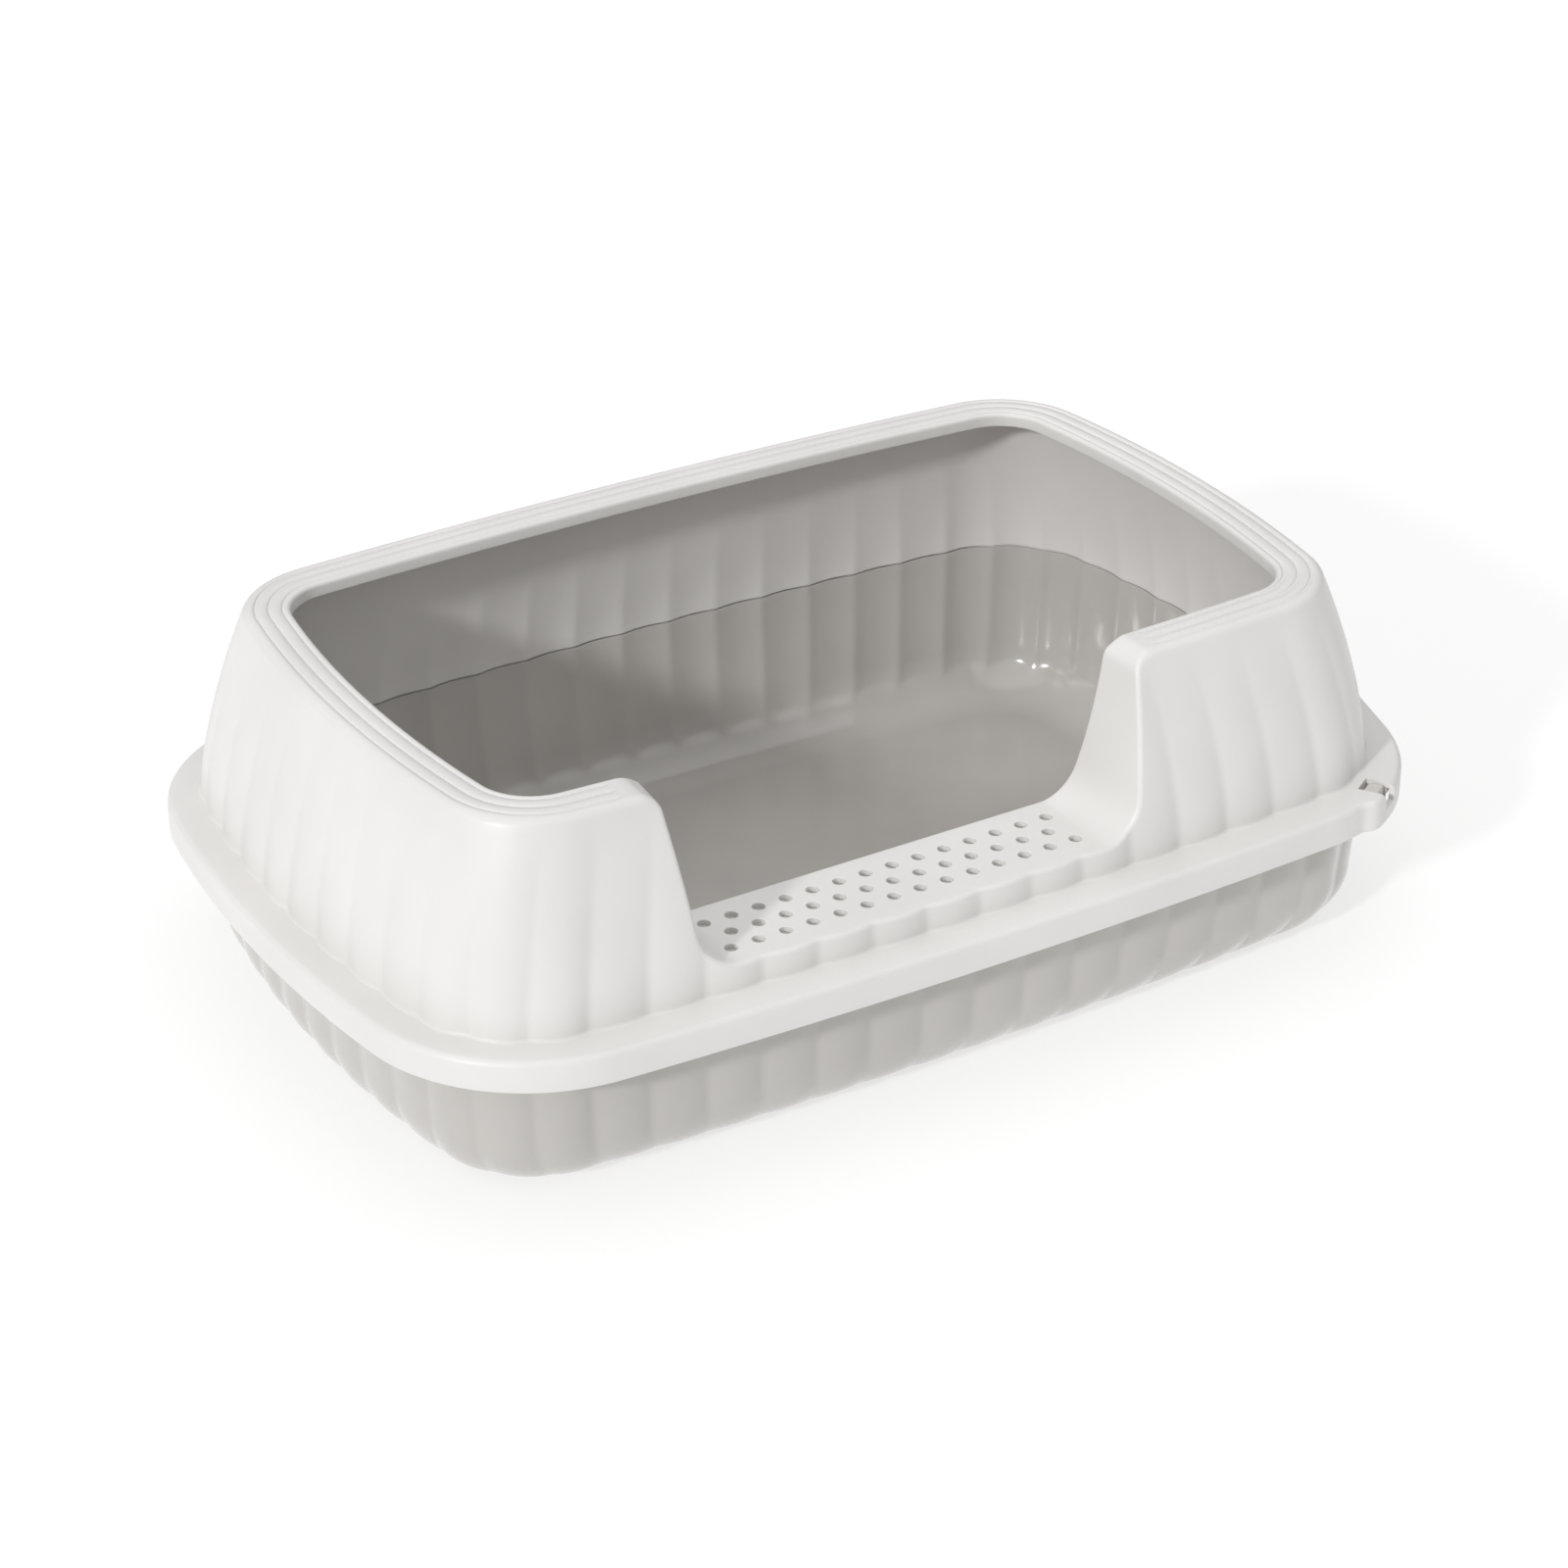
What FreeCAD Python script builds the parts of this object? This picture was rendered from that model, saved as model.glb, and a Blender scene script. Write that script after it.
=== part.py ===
"""Open-topped cat litter box: a grey litter pan, a white splash-guard hood and two corner latches.

Millimetres, +Z up. The origin is the middle of the face that the pan rests on; +X runs along the
box's length towards the end with the wide grip, and the cat's entry faces -Y.
"""
import FreeCAD, Part
import math
import os
from FreeCAD import Vector

# ---- Driving dimensions -------------------------------------------------------------------------
# Heights
LIP_BOTTOM = 65.0            # lower edge of the hood's skirt
FLANGE_TOP = 79.0            # top of the hood's flange
LEDGE_TOP = 90.8             # the perforated step in the entry
RIM_TOP = 165.0              # overall height
WALL = 2.5                   # thickness of both mouldings

# Plan outlines: half length, half width, corner radius, and radii of the bowed long and short sides
BASE = (238.0, 151.0, 55.0, 2600.0, 590.0)      # where the pan and the hood's wall meet
RIM = (216.5, 132.4, 44.3, 2740.0, 590.0)       # outer edge of the hood's rim
LIP = (255.0, 168.3, 80.0, 3040.0, 640.0)       # outer face of the hood's skirt
PAN_FLOOR = (206.5, 120.5, 31.0, 2560.0, 550.0)  # flat part of the pan's underside

# Flutes
FLUTES = 56                  # round the whole box, a multiple of four
FLUTE_DEPTH = 1.8
FLUTE_FADE = 0.8             # below 1 the flutes keep their depth longer as they rise
CORNER_WEIGHT = 1.05         # flutes are this much closer together round the corners

# Hood
WALL_BARREL = 1.5            # above 1 the wall leans in late and looks barrel-shaped
RIM_ROUND = 4.0
RIM_BAND = 19.9
RIM_STRIP = 6.3              # the rim's inner edge turns down by this much
GROOVE_INSETS = (4.8, 10.6, 16.5)
GROOVE_WIDTH = 1.2
GROOVE_DEPTH = 0.6
GROOVE_STOP = 14.0           # the grooves end this far outside the entry
FLANGE_ROUND = 3.0
LOCATING_RIB = 1.1           # the pan's rib that stands inside the hood's wall
RIB_TOP = 77.6
SEAM_GAP = 1.2               # open seam over the locating rib, seen from inside
PARTING_GAP = 0.3            # between the pan and the hood

# Entry, off the middle of the long side
ENTRY_X = -23.8
ENTRY_HALF_TOP = 112.2
ENTRY_HALF_BOTTOM = 102.7
ENTRY_TOP_RADIUS = 9.0
ENTRY_BOTTOM_RADIUS = 19.0
LEDGE_INNER_Y = -101.1
JAMB_BOW = 1.6               # how far the jambs' inner edge bows, at JAMB_BOW_Z
JAMB_BOW_Z = 115.0
HOLE_RADIUS = 2.8
HOLE_PITCH = 12.75
HOLE_ROWS_Y = (-136.3, -125.5, -114.7)
HOLE_ROW_COUNTS = (14, 13, 14)
HOLES_X = -25.8

# Grip: the flange is wider round the +X end
GRIP_CENTRE = (162.5, 83.0)   # centre of the grip's corner arc, mirrored at the front
GRIP_START_X = 197.0
GRIP_RAMP = 20.0             # degrees between the X axis and the ramp out to the wider edge
GRIP_RADIUS = 86.5
GRIP_TURN = 16.0             # degrees between the grip's slanted edge and the Y axis
GRIP_EDGE_RADIUS = 100.0
GRIP_HALF_FLAT = 40.0
GRIP_BLEND = 6.0
GRIP_RAMP_LENGTH = 60.0      # reaches well inside the lip's own outline

# Pan
PAN_DRAFT = 0.08
PAN_FOOT_RADIUS = 29.0
PAN_FLANGE_TOP = 76.2
PAN_FLANGE_THICK = 2.2
PAN_FLANGE_GAP = 0.8         # between the pan's flange and the inside of the hood's skirt
FOOT_FLUTE_FADE = 0.88       # share of the flutes' depth lost round the foot

# Corner latches, placed by angle and distance from the centre of the grip's corner arc
LATCH_ANGLE = -57.6
LATCH_PIVOT_R = 78.5
LATCH_PIVOT_Z = 69.0
NOTCH_INNER_R = 73.7         # the latch's notch in the pan's flange
NOTCH_HALF_WIDTH = 5.0
WINDOW_INNER_R = 73.3
WINDOW_HALF_WIDTH = 5.3
WINDOW_SILL = 71.5
HEAD_INNER_R = 75.3
HEAD_OUTER_R = 81.7
HEAD_HALF_WIDTH = 4.2
HEAD_BOTTOM = 73.4
HEAD_TOP = 78.2
BOSS_RADIUS = 2.4
TRUNNION_RADIUS = 1.3
TRUNNION_CLEARANCE = 0.05
STEM_HALF = 1.6
HEAD_ROUND = 0.7
LUG_GAP = 4.9
LUG_THICK = 2.2
LUG_LENGTH = 7.0
LUG_BOTTOM = 66.0


# ---- Plan outlines ------------------------------------------------------------------------------
def inset(plan, distance):
    """The plan moved inwards by a distance, or outwards where it is negative."""
    return tuple(size - distance for size in plan)


def blend(plan_a, plan_b, share):
    return tuple(a + (b - a) * share for a, b in zip(plan_a, plan_b))


def corner_centre(plan):
    """Centre of the corner arc in the first quadrant, tangent inside both bowed sides."""
    half_x, half_y, radius, long_radius, short_radius = plan
    long_centre = Vector(0, half_y - long_radius, 0)
    short_centre = Vector(half_x - short_radius, 0, 0)
    reach_long = long_radius - radius
    reach_short = short_radius - radius
    between = short_centre - long_centre
    gap = between.Length
    along = (reach_long**2 - reach_short**2 + gap**2) / (2 * gap)
    aside = math.sqrt(reach_long**2 - along**2)
    unit = between / gap
    outwards = Vector(unit.y, -unit.x, 0)
    return long_centre + unit * along + outwards * aside


def quarter_arcs(plan):
    """The first quadrant as three arcs (centre, radius, start angle, end angle), from +Y to +X."""
    half_x, half_y, radius, long_radius, short_radius = plan
    centre = corner_centre(plan)
    long_centre = Vector(0, half_y - long_radius, 0)
    short_centre = Vector(half_x - short_radius, 0, 0)
    long_end = math.atan2(centre.y - long_centre.y, centre.x - long_centre.x)
    short_start = math.atan2(centre.y - short_centre.y, centre.x - short_centre.x)
    return [
        (long_centre, long_radius, math.pi / 2, long_end),
        (centre, radius, long_end, short_start),
        (short_centre, short_radius, short_start, 0.0),
    ]


def quarter_point(arcs, share):
    """Point and outward normal at a share of the quarter, corners counting CORNER_WEIGHT."""
    weights = (1.0, CORNER_WEIGHT, 1.0)
    lengths = [w * r * (a - b) for w, (_, r, a, b) in zip(weights, arcs)]
    left = share * sum(lengths)
    for length, (centre, radius, start, end) in zip(lengths, arcs):
        if left <= length or (centre, radius, start, end) == arcs[-1]:
            angle = start + (end - start) * left / length
            normal = Vector(math.cos(angle), math.sin(angle), 0)
            return centre + normal * radius, normal
        left -= length


def outline_point(arcs, index):
    """Point and normal at a flute position, which counts clockwise from the middle of +Y."""
    per_quarter = FLUTES // 4
    quarter, step = divmod(index, per_quarter)
    quarter = int(quarter) % 4
    if quarter in (1, 3):
        step = per_quarter - step
    point, normal = quarter_point(arcs, step / per_quarter)
    sign_x = 1 if quarter in (0, 1) else -1
    sign_y = 1 if quarter in (0, 3) else -1
    point = Vector(sign_x * point.x, sign_y * point.y, 0)
    return point, Vector(sign_x * normal.x, sign_y * normal.y, 0)


def fluted_wire(plan, z, depth):
    """Closed wire of one outward arc per flute; the valleys lie on the plan."""
    arcs = quarter_arcs(plan)
    lift = Vector(0, 0, z)
    edges = []
    for flute in range(FLUTES):
        start, _ = outline_point(arcs, flute)
        middle, normal = outline_point(arcs, flute + 0.5)
        end, _ = outline_point(arcs, flute + 1)
        edges.append(Part.Arc(start + lift, middle + normal * depth + lift, end + lift).toShape())
    return Part.Wire(edges)


def smooth_wire(plan, z):
    """Closed wire of the plan's own eight arcs."""
    lift = Vector(0, 0, z)
    edges = []
    for turn in range(4):
        arcs = quarter_arcs(plan)
        if turn in (1, 3):
            arcs = [(c, r, b, a) for c, r, a, b in reversed(arcs)]
        sign_x = 1 if turn in (0, 1) else -1
        sign_y = 1 if turn in (0, 3) else -1
        for centre, radius, start, end in arcs:
            points = []
            for angle in (start, (start + end) / 2, end):
                x = centre.x + radius * math.cos(angle)
                y = centre.y + radius * math.sin(angle)
                points.append(Vector(sign_x * x, sign_y * y, 0) + lift)
            edges.append(Part.Arc(*points).toShape())
    return Part.Wire(edges)


def prism(wire, height):
    return Part.Face(wire).extrude(Vector(0, 0, height))


def plan_solid(plan, low, high):
    return prism(smooth_wire(plan, low), high - low)


def rounded_path(points, radii):
    """Edges of a polyline in the XZ plane whose inner points are rounded."""
    edges = []
    previous = points[0]
    for before, corner, after, radius in zip(points, points[1:], points[2:], radii):
        into = (corner - before).normalize()
        out = (after - corner).normalize()
        half_turn = into.getAngle(out) / 2
        reach = radius * math.tan(half_turn)
        start = corner - into * reach
        end = corner + out * reach
        towards = (out - into).normalize()
        middle = corner + towards * (radius / math.cos(half_turn) - radius)
        edges.append(Part.LineSegment(previous, start).toShape())
        edges.append(Part.Arc(start, middle, end).toShape())
        previous = end
    edges.append(Part.LineSegment(previous, points[-1]).toShape())
    return edges


# ---- Hood ---------------------------------------------------------------------------------------
def wall_plan(z, thickness):
    """The hood wall's plan at a height, moved in by the thickness."""
    share = max(0.0, (z - FLANGE_TOP) / (RIM_TOP - FLANGE_TOP))
    return inset(blend(BASE, RIM, share**WALL_BARREL), thickness)


def wall_depth(z):
    """Flutes are deepest at the base and die out under the rim."""
    share = max(0.0, (z - FLANGE_TOP) / (RIM_TOP - RIM_ROUND - FLANGE_TOP))
    return FLUTE_DEPTH * max(0.0, 1 - share) ** FLUTE_FADE


def wall_solid(thickness, low, high):
    heights = [low + (high - low) * step / 5 for step in range(6)]
    wires = [fluted_wire(wall_plan(z, thickness), z, wall_depth(z)) for z in heights]
    return Part.makeLoft(wires, True, False)


def rim_cap():
    """The rounded top edge of the rim, on the wall's last section."""
    base_z = RIM_TOP - RIM_ROUND
    top = wall_plan(base_z, 0)
    wires = []
    for step in range(5):
        angle = math.radians(90 * step / 4)
        drop = RIM_ROUND * (1 - math.cos(angle))
        z = base_z + RIM_ROUND * math.sin(angle)
        wires.append(fluted_wire(inset(top, drop), z, wall_depth(base_z)))
    return Part.makeLoft(wires, True, True)


def grip_wire(distance, z):
    """Edge of the wide flange round the +X end, moved inwards by a distance."""
    centre = Vector(*GRIP_CENTRE, 0)
    radius = GRIP_RADIUS - distance
    turn = math.radians(GRIP_TURN)
    ramp = math.radians(GRIP_RAMP)
    full_angle = math.acos((GRIP_START_X - centre.x) / GRIP_RADIUS)
    half_corner = (math.pi / 2 + ramp - full_angle) / 2
    start_angle = full_angle - distance * math.tan(half_corner) / radius
    mid_angle = (start_angle + turn) / 2
    corner_start = centre + Vector(math.cos(start_angle), math.sin(start_angle), 0) * radius
    corner_mid = centre + Vector(math.cos(mid_angle), math.sin(mid_angle), 0) * radius
    corner_end = centre + Vector(math.cos(turn), math.sin(turn), 0) * radius
    ramp_start = corner_start - Vector(math.cos(ramp), math.sin(ramp), 0) * GRIP_RAMP_LENGTH
    edge_radius = GRIP_EDGE_RADIUS - distance
    slant_end_y = GRIP_HALF_FLAT + edge_radius * math.sin(turn)
    slant_end = Vector(corner_end.x + (corner_end.y - slant_end_y) * math.tan(turn), slant_end_y, 0)
    edge_centre = slant_end - Vector(math.cos(turn), math.sin(turn), 0) * edge_radius
    edge_mid = edge_centre + Vector(math.cos(turn / 2), math.sin(turn / 2), 0) * edge_radius
    edge_end = edge_centre + Vector(edge_radius, 0, 0)

    def low(point):
        return Vector(point.x, -point.y, z)

    def up(point):
        return Vector(point.x, point.y, z)

    edges = [
        Part.Arc(up(corner_start), up(corner_mid), up(corner_end)).toShape(),
        Part.LineSegment(up(corner_end), up(slant_end)).toShape(),
        Part.Arc(up(slant_end), up(edge_mid), up(edge_end)).toShape(),
        Part.LineSegment(up(edge_end), low(edge_end)).toShape(),
        Part.Arc(low(edge_end), low(edge_mid), low(slant_end)).toShape(),
        Part.LineSegment(low(slant_end), low(corner_end)).toShape(),
        Part.Arc(low(corner_end), low(corner_mid), low(corner_start)).toShape(),
        Part.LineSegment(low(corner_start), low(ramp_start)).toShape(),
        Part.LineSegment(low(ramp_start), up(ramp_start)).toShape(),
        Part.LineSegment(up(ramp_start), up(corner_start)).toShape(),
    ]
    return Part.Wire(edges)


def lip_solid(distance, low, high):
    """The skirt's filled outline between two heights, moved inwards by a distance."""
    body = plan_solid(inset(LIP, distance), low, high)
    grip = prism(grip_wire(distance, low), high - low)
    solid = body.fuse(grip).removeSplitter()
    corners = []
    for edge in solid.Edges:
        box = edge.BoundBox
        upright = box.ZLength > (high - low) * 0.9 and box.XLength + box.YLength < 0.01
        if upright and abs(box.XMin - GRIP_START_X) < 12 and abs(box.YMin) > 140:
            corners.append(edge)
    return solid.makeFillet(GRIP_BLEND, corners)


def outer_top_edges(solid, z):
    return [e for e in solid.Edges if abs(e.BoundBox.ZMin - z) < 1e-3 and e.BoundBox.ZLength < 1e-3]


def entry_points(distance):
    """Corners of the entry's cut-out in the XZ plane, grown by a distance."""
    slope = (ENTRY_HALF_TOP - ENTRY_HALF_BOTTOM) / (RIM_TOP - LEDGE_TOP)
    top = RIM_TOP + 0.05
    bottom = LEDGE_TOP - distance
    side = distance * math.sqrt(1 + slope**2)
    half_bottom = ENTRY_HALF_BOTTOM + side + slope * (bottom - LEDGE_TOP)
    half_top = ENTRY_HALF_TOP + side + slope * (top - RIM_TOP)
    wide = ENTRY_HALF_TOP + 40
    return [
        Vector(ENTRY_X - wide, 0, top),
        Vector(ENTRY_X - half_top, 0, top),
        Vector(ENTRY_X - half_bottom, 0, bottom),
        Vector(ENTRY_X + half_bottom, 0, bottom),
        Vector(ENTRY_X + half_top, 0, top),
        Vector(ENTRY_X + wide, 0, top),
    ]


def entry_prism(distance, y_low, y_high):
    """The entry's cut-out as a solid along Y, grown by a distance."""
    points = entry_points(distance)
    top_radius = ENTRY_TOP_RADIUS - distance
    bottom_radius = ENTRY_BOTTOM_RADIUS + distance
    edges = rounded_path(points, [top_radius, bottom_radius, bottom_radius, top_radius])
    above = 20
    last, first = points[-1], points[0]
    up = Vector(0, 0, above)
    edges.append(Part.LineSegment(last, last + up).toShape())
    edges.append(Part.LineSegment(last + up, first + up).toShape())
    edges.append(Part.LineSegment(first + up, first).toShape())
    face = Part.Face(Part.Wire(edges))
    face.translate(Vector(0, y_low, 0))
    return face.extrude(Vector(0, y_high - y_low, 0))


def jamb_limit():
    """Keeps the ledge and jambs outside a curve that runs from the ledge's edge up to the rim."""
    rim_y = -(RIM[1] - RIM_BAND)
    low = Vector(0, LEDGE_INNER_Y, LEDGE_TOP - WALL - 1)
    middle = Vector(0, (LEDGE_INNER_Y + rim_y) / 2 - JAMB_BOW, JAMB_BOW_Z)
    high = Vector(0, rim_y, RIM_TOP - RIM_STRIP)
    top = Vector(0, rim_y, RIM_TOP + 1)
    far_top = Vector(0, -200, RIM_TOP + 1)
    far_low = Vector(0, -200, low.z)
    edges = [
        Part.Arc(low, middle, high).toShape(),
        Part.LineSegment(high, top).toShape(),
        Part.LineSegment(top, far_top).toShape(),
        Part.LineSegment(far_top, far_low).toShape(),
        Part.LineSegment(far_low, low).toShape(),
    ]
    face = Part.Face(Part.Wire(edges))
    face.translate(Vector(-300, 0, 0))
    return face.extrude(Vector(600, 0, 0))


def drain_holes():
    holes = []
    for y, count in zip(HOLE_ROWS_Y, HOLE_ROW_COUNTS):
        for index in range(count):
            x = HOLES_X + (index - (count - 1) / 2) * HOLE_PITCH
            holes.append(Part.makeCylinder(HOLE_RADIUS, 3 * WALL, Vector(x, y, LEDGE_TOP - 2 * WALL)))
    return Part.makeCompound(holes)


def rim_grooves():
    """Fine grooves round the rim, which stop short of the entry."""
    low = RIM_TOP - GROOVE_DEPTH
    rings = []
    for distance in GROOVE_INSETS:
        outer = plan_solid(inset(RIM, distance - GROOVE_WIDTH / 2), low, RIM_TOP + 1)
        inner = plan_solid(inset(RIM, distance + GROOVE_WIDTH / 2), low - 1, RIM_TOP + 2)
        rings.append(outer.cut(inner))
    half = ENTRY_HALF_TOP + GROOVE_STOP
    keep_out = Part.makeBox(2 * half, 80, 20, Vector(ENTRY_X - half, -150, low - 5))
    return Part.makeCompound([ring.cut(keep_out) for ring in rings])


def corner_frame(side):
    """Origin and outward direction of a latch's corner; side is -1 at the front, 1 at the rear."""
    centre = Vector(*GRIP_CENTRE, 0)
    angle = math.radians(-LATCH_ANGLE)
    outward = Vector(math.cos(angle), side * math.sin(angle), 0)
    return Vector(centre.x, side * centre.y, 0), outward


def place_at_corner(shape, side):
    """Moves a shape drawn with X outwards, Y along the lip and Z up to its corner."""
    origin, outward = corner_frame(side)
    angle = math.degrees(math.atan2(outward.y, outward.x))
    placed = shape.copy()
    placed.Placement = FreeCAD.Placement(origin, FreeCAD.Rotation(Vector(0, 0, 1), angle))
    return placed


def local_box(r_low, r_high, half_width, z_low, z_high):
    size = (r_high - r_low, 2 * half_width, z_high - z_low)
    return Part.makeBox(*size, Vector(r_low, -half_width, z_low))


def build_hood():
    cap_z = RIM_TOP - RIM_ROUND
    flange = lip_solid(0, LIP_BOTTOM, FLANGE_TOP)
    flange = flange.makeFillet(FLANGE_ROUND, outer_top_edges(flange, FLANGE_TOP))
    shell_outer = wall_solid(0, FLANGE_TOP - 1, cap_z).fuse(rim_cap())

    # Hollow: inside of the skirt, a rebate over the pan's rib, inside of the wall, the rim opening
    skirt_hollow = lip_solid(WALL, LIP_BOTTOM - 1, FLANGE_TOP - WALL)
    below_flange = FLANGE_TOP - WALL - 1
    rebate_plan = inset(BASE, WALL - LOCATING_RIB - PARTING_GAP)
    rebate_wire = fluted_wire(rebate_plan, below_flange, FLUTE_DEPTH)
    rebate = prism(rebate_wire, RIB_TOP + SEAM_GAP - below_flange)
    wall_hollow = wall_solid(WALL, below_flange, RIM_TOP - WALL)
    rim_inner = inset(RIM, RIM_BAND)
    mouth = plan_solid(rim_inner, RIM_TOP - 20, RIM_TOP + 5)

    filled = flange.fuse(shell_outer)
    hood = filled.cut(skirt_hollow).cut(rebate).cut(wall_hollow).cut(mouth)

    strip = plan_solid(inset(rim_inner, -WALL), RIM_TOP - RIM_STRIP, RIM_TOP - WALL + 0.5).cut(mouth)
    lining = entry_prism(WALL, -175, LEDGE_INNER_Y + 20).cut(entry_prism(0, -180, LEDGE_INNER_Y + 30))
    above_flange = Part.makeBox(600, 400, 200, Vector(-300, -200, FLANGE_TOP - 0.5))
    lining = lining.common(jamb_limit()).common(shell_outer).common(above_flange)
    hood = hood.fuse(strip).fuse(lining)

    hood = hood.cut(entry_prism(0, -180, -70)).cut(drain_holes()).cut(rim_grooves())
    window = local_box(WINDOW_INNER_R, GRIP_RADIUS + 5, WINDOW_HALF_WIDTH, WINDOW_SILL, FLANGE_TOP + 5)
    for side in (-1, 1):
        hood = hood.cut(place_at_corner(window, side))
    return hood


# ---- Pan ----------------------------------------------------------------------------------------
def pan_sections(thickness):
    """(plan, height, flute depth) from the rim down, round the foot, to the flat floor."""
    foot_z = PAN_FOOT_RADIUS
    top = inset(BASE, thickness)
    sections = [(top, PAN_FLANGE_TOP, FLUTE_DEPTH)]
    for z in (55.0, foot_z + 6):
        sections.append((inset(top, PAN_DRAFT * (PAN_FLANGE_TOP - z)), z, FLUTE_DEPTH))
    foot_plan = inset(top, PAN_DRAFT * (PAN_FLANGE_TOP - foot_z))
    floor_plan = inset(PAN_FLOOR, thickness * 0.2)
    steps = 5
    for step in range(steps + 1):
        angle = math.radians(90 * step / steps)
        share = 1 - math.cos(angle)
        z = thickness + (foot_z - thickness) * (1 - math.sin(angle))
        depth = FLUTE_DEPTH * (1 - FOOT_FLUTE_FADE * share)
        sections.append((blend(foot_plan, floor_plan, share), z, depth))
    return sections


def pan_solid(thickness):
    wires = [fluted_wire(plan, z, depth) for plan, z, depth in pan_sections(thickness)]
    return Part.makeLoft(wires, True, False)


def latch_lugs():
    """Two ears under the pan's flange that carry one latch's trunnions."""
    ears = []
    for side in (-1, 1):
        y_low = LUG_GAP if side > 0 else -LUG_GAP - LUG_THICK
        size = (LUG_LENGTH, LUG_THICK, PAN_FLANGE_TOP - 1 - LUG_BOTTOM)
        ear = Part.makeBox(*size, Vector(LATCH_PIVOT_R - LUG_LENGTH / 2, y_low, LUG_BOTTOM))
        ears.append(ear)
    bore_radius = TRUNNION_RADIUS + TRUNNION_CLEARANCE
    bore_start = Vector(LATCH_PIVOT_R, -20, LATCH_PIVOT_Z)
    bore = Part.makeCylinder(bore_radius, 40, bore_start, Vector(0, 1, 0))
    return [ear.cut(bore) for ear in ears]


def build_pan():
    body = pan_solid(0)
    flange_low = PAN_FLANGE_TOP - PAN_FLANGE_THICK
    flange = lip_solid(WALL + PAN_FLANGE_GAP, flange_low, PAN_FLANGE_TOP)
    notch = local_box(NOTCH_INNER_R, GRIP_RADIUS + 5, NOTCH_HALF_WIDTH, flange_low - 1, PAN_FLANGE_TOP + 1)
    for side in (-1, 1):
        flange = flange.cut(place_at_corner(notch, side))
    rib_wire = fluted_wire(inset(BASE, WALL - LOCATING_RIB), PAN_FLANGE_TOP - 1, FLUTE_DEPTH)
    rib = prism(rib_wire, RIB_TOP - PAN_FLANGE_TOP + 1)
    pan = body.fuse(flange).fuse(rib)
    hollow_top = prism(fluted_wire(inset(BASE, WALL), PAN_FLANGE_TOP - 0.01, FLUTE_DEPTH), 5)
    pan = pan.cut(pan_solid(WALL)).cut(hollow_top)
    for side in (-1, 1):
        for lug in latch_lugs():
            pan = pan.fuse(place_at_corner(lug, side))
    return pan


# ---- Latches ------------------------------------------------------------------------------------
def build_latch(side):
    """A rocker: head in the flange's window, stem, and a boss with a trunnion at each end."""
    head = local_box(HEAD_INNER_R, HEAD_OUTER_R, HEAD_HALF_WIDTH, HEAD_BOTTOM, HEAD_TOP)
    head = head.makeFillet(HEAD_ROUND, outer_top_edges(head, HEAD_TOP))
    stem_low, stem_high = LATCH_PIVOT_R - STEM_HALF, LATCH_PIVOT_R + STEM_HALF
    stem = local_box(stem_low, stem_high, HEAD_HALF_WIDTH, LATCH_PIVOT_Z, HEAD_BOTTOM + 0.5)
    along = Vector(0, 1, 0)
    boss_start = Vector(LATCH_PIVOT_R, -HEAD_HALF_WIDTH, LATCH_PIVOT_Z)
    boss = Part.makeCylinder(BOSS_RADIUS, 2 * HEAD_HALF_WIDTH, boss_start, along)
    half_pin = LUG_GAP + LUG_THICK
    pin_start = Vector(LATCH_PIVOT_R, -half_pin, LATCH_PIVOT_Z)
    pin = Part.makeCylinder(TRUNNION_RADIUS, 2 * half_pin, pin_start, along)
    return place_at_corner(head.fuse(stem).fuse(boss).fuse(pin).removeSplitter(), side)


def single_solid(name, shape):
    """The shape as one valid solid, or an error that names the part."""
    if len(shape.Solids) != 1 or not shape.isValid():
        raise RuntimeError(f"{name}: {len(shape.Solids)} solids, valid {shape.isValid()}")
    return shape.Solids[0]


def main():
    os.makedirs("parts", exist_ok=True)
    nodes = {
        "litter_pan": build_pan(),
        "hood": build_hood(),
        "front_latch": build_latch(-1),
        "rear_latch": build_latch(1),
    }
    for name, shape in nodes.items():
        solid = single_solid(name, shape)
        solid.exportStep(f"parts/{name}.step")
        box = solid.BoundBox
        limits = (box.XMin, box.XMax, box.YMin, box.YMax, box.ZMin, box.ZMax)
        print(name, "volume", round(solid.Volume), "box", [round(v, 2) for v in limits])
    for side, name in ((-1, "front_latch"), (1, "rear_latch")):
        origin, outward = corner_frame(side)
        pivot = origin + outward * LATCH_PIVOT_R + Vector(0, 0, LATCH_PIVOT_Z)
        axis = outward.cross(Vector(0, 0, 1))
        print(name, "pivot", [round(v, 4) for v in pivot], "press axis", [round(v, 6) for v in axis])


main()
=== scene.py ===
"""Looks for the open-topped cat litter box: fluted white hood, glossy grey pan, two corner latches.

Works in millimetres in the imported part's frame and converts to metres when each mesh is made.
"""
import math

import bmesh
import bpy
import numpy as np
from mathutils import Matrix, Vector


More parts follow.
